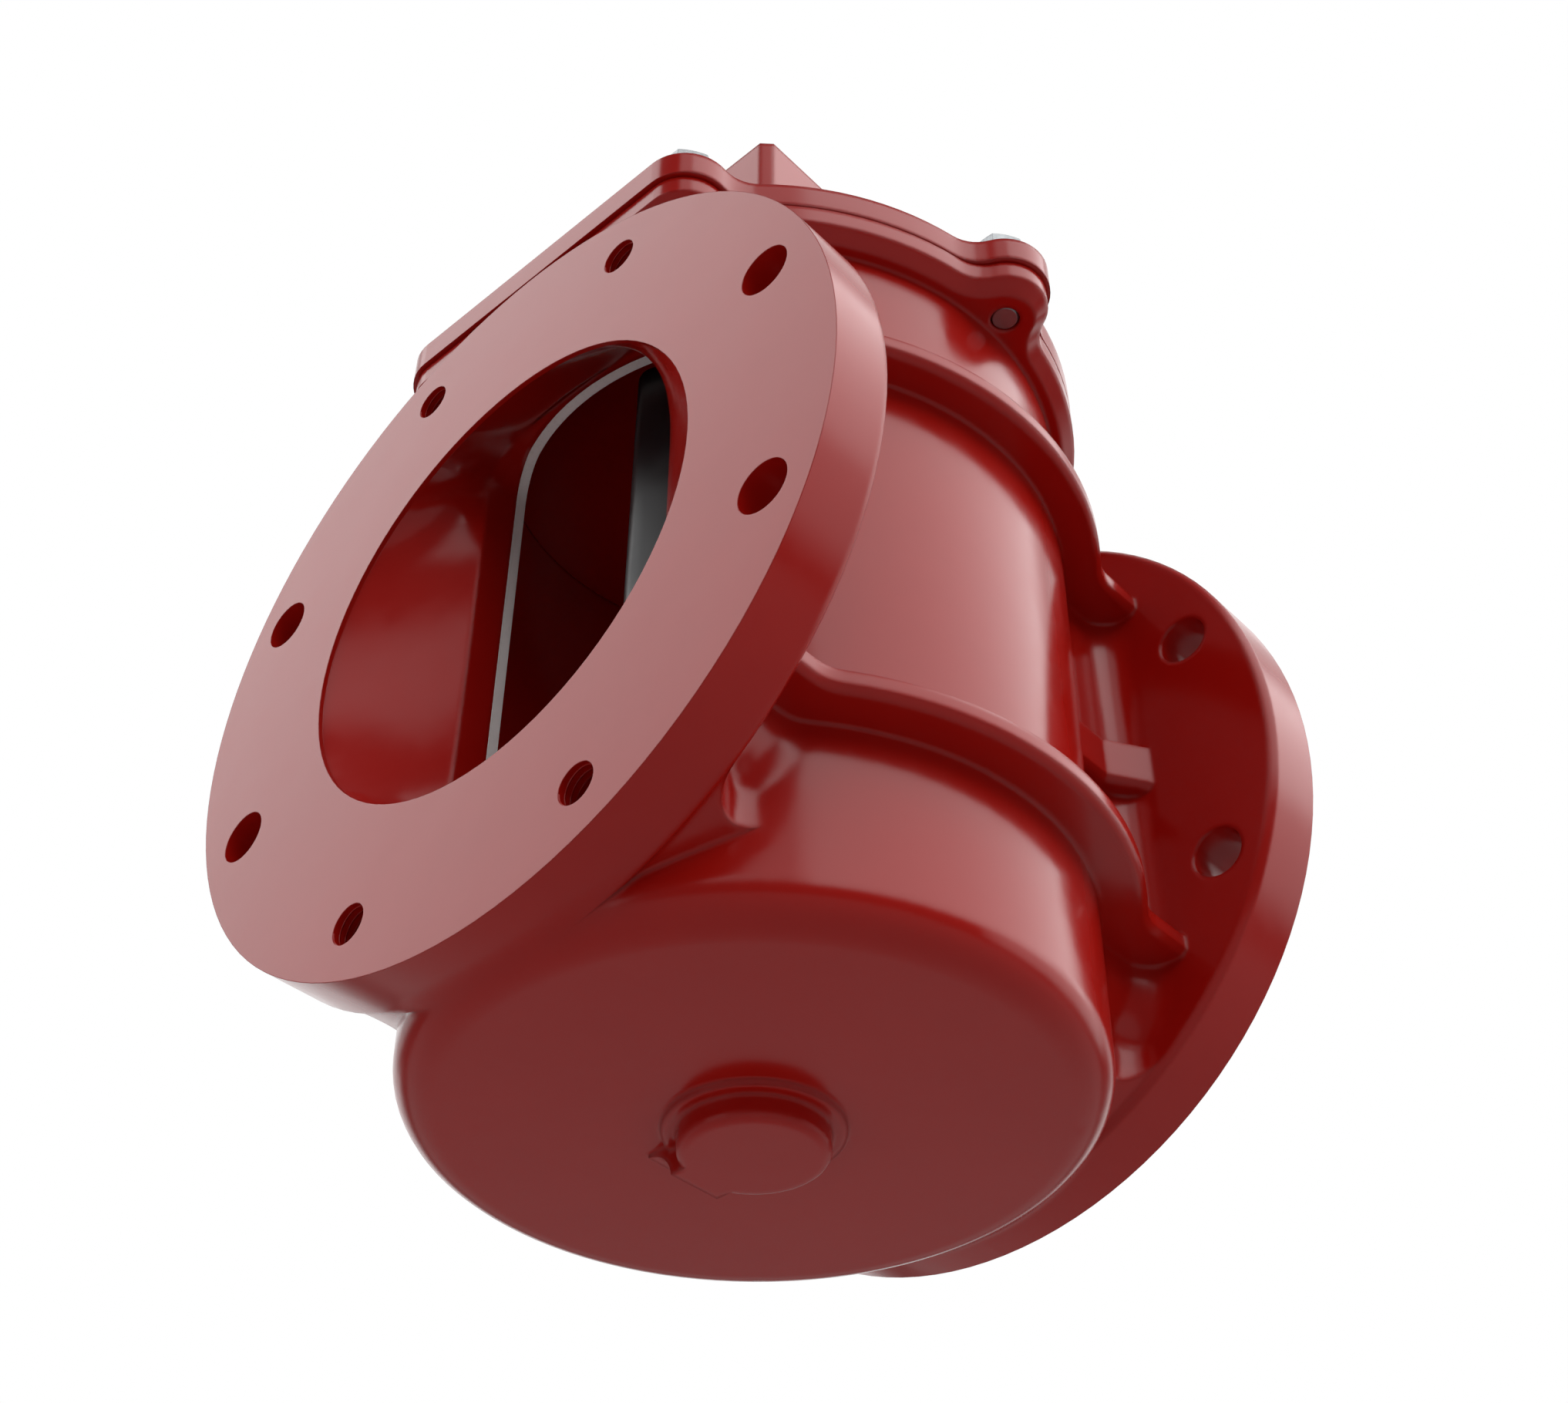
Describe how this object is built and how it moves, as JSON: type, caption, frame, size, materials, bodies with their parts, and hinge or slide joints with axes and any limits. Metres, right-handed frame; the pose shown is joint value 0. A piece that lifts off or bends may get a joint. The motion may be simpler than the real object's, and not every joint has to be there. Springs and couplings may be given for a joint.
{
  "type": "eccentric plug valve",
  "caption": "Flanged cast iron eccentric plug valve with a drum body, ring ribs, eared bonnet, square actuator pad and rubber-faced quarter-turn plug.",
  "frame": {"origin": "centre of the seat flange's face, on the pipe axis", "axes": "+X along the pipe from the seat flange to the outlet flange, +Z along the stem towards the actuator pad"},
  "size_m": [0.2921, 0.3428, 0.53],
  "materials": {
    "red_paint": "gloss enamel on cast iron",
    "nickel": "ground nickel overlay",
    "plug_iron": "coated iron",
    "plug_rubber": "moulded black rubber",
    "seal_rubber": "moulded black rubber",
    "zinc_steel": "zinc plated",
    "bearing_steel": "turned",
    "washer_polymer": "white polymer",
    "gasket_fibre": "compressed fibre",
    "packing_rubber": "fabric-filled rubber",
    "brass_ring": "turned",
    "gland_iron": "machined iron"
  },
  "bodies": {
    "valve": {"valve_body": "red_paint", "bonnet": "red_paint", "seat_overlay": "nickel", "bonnet_bolts": "zinc_steel", "bonnet_gasket": "gasket_fibre", "lower_bearing": "bearing_steel", "upper_bearing": "bearing_steel", "lower_thrust_washer": "washer_polymer", "upper_thrust_washer": "washer_polymer", "lower_grit_seal": "seal_rubber", "upper_grit_seal": "seal_rubber", "packing_base_ring": "brass_ring", "packing_vee_1": "packing_rubber", "packing_vee_2": "packing_rubber", "packing_vee_3": "packing_rubber", "packing_vee_4": "packing_rubber", "packing_top_ring": "brass_ring", "gland_follower": "gland_iron", "gland_studs": "zinc_steel", "gland_nuts": "zinc_steel"},
    "plug": {"plug_core": "plug_iron", "plug_facing": "plug_rubber"}
  },
  "joints": [
    {"name": "plug_turn", "type": "hinge", "parent": "valve", "child": "plug", "pos_m": [0.14605, 0, 0], "axis": [0, 0, 1], "range_deg": [-45, 45]}
  ]
}
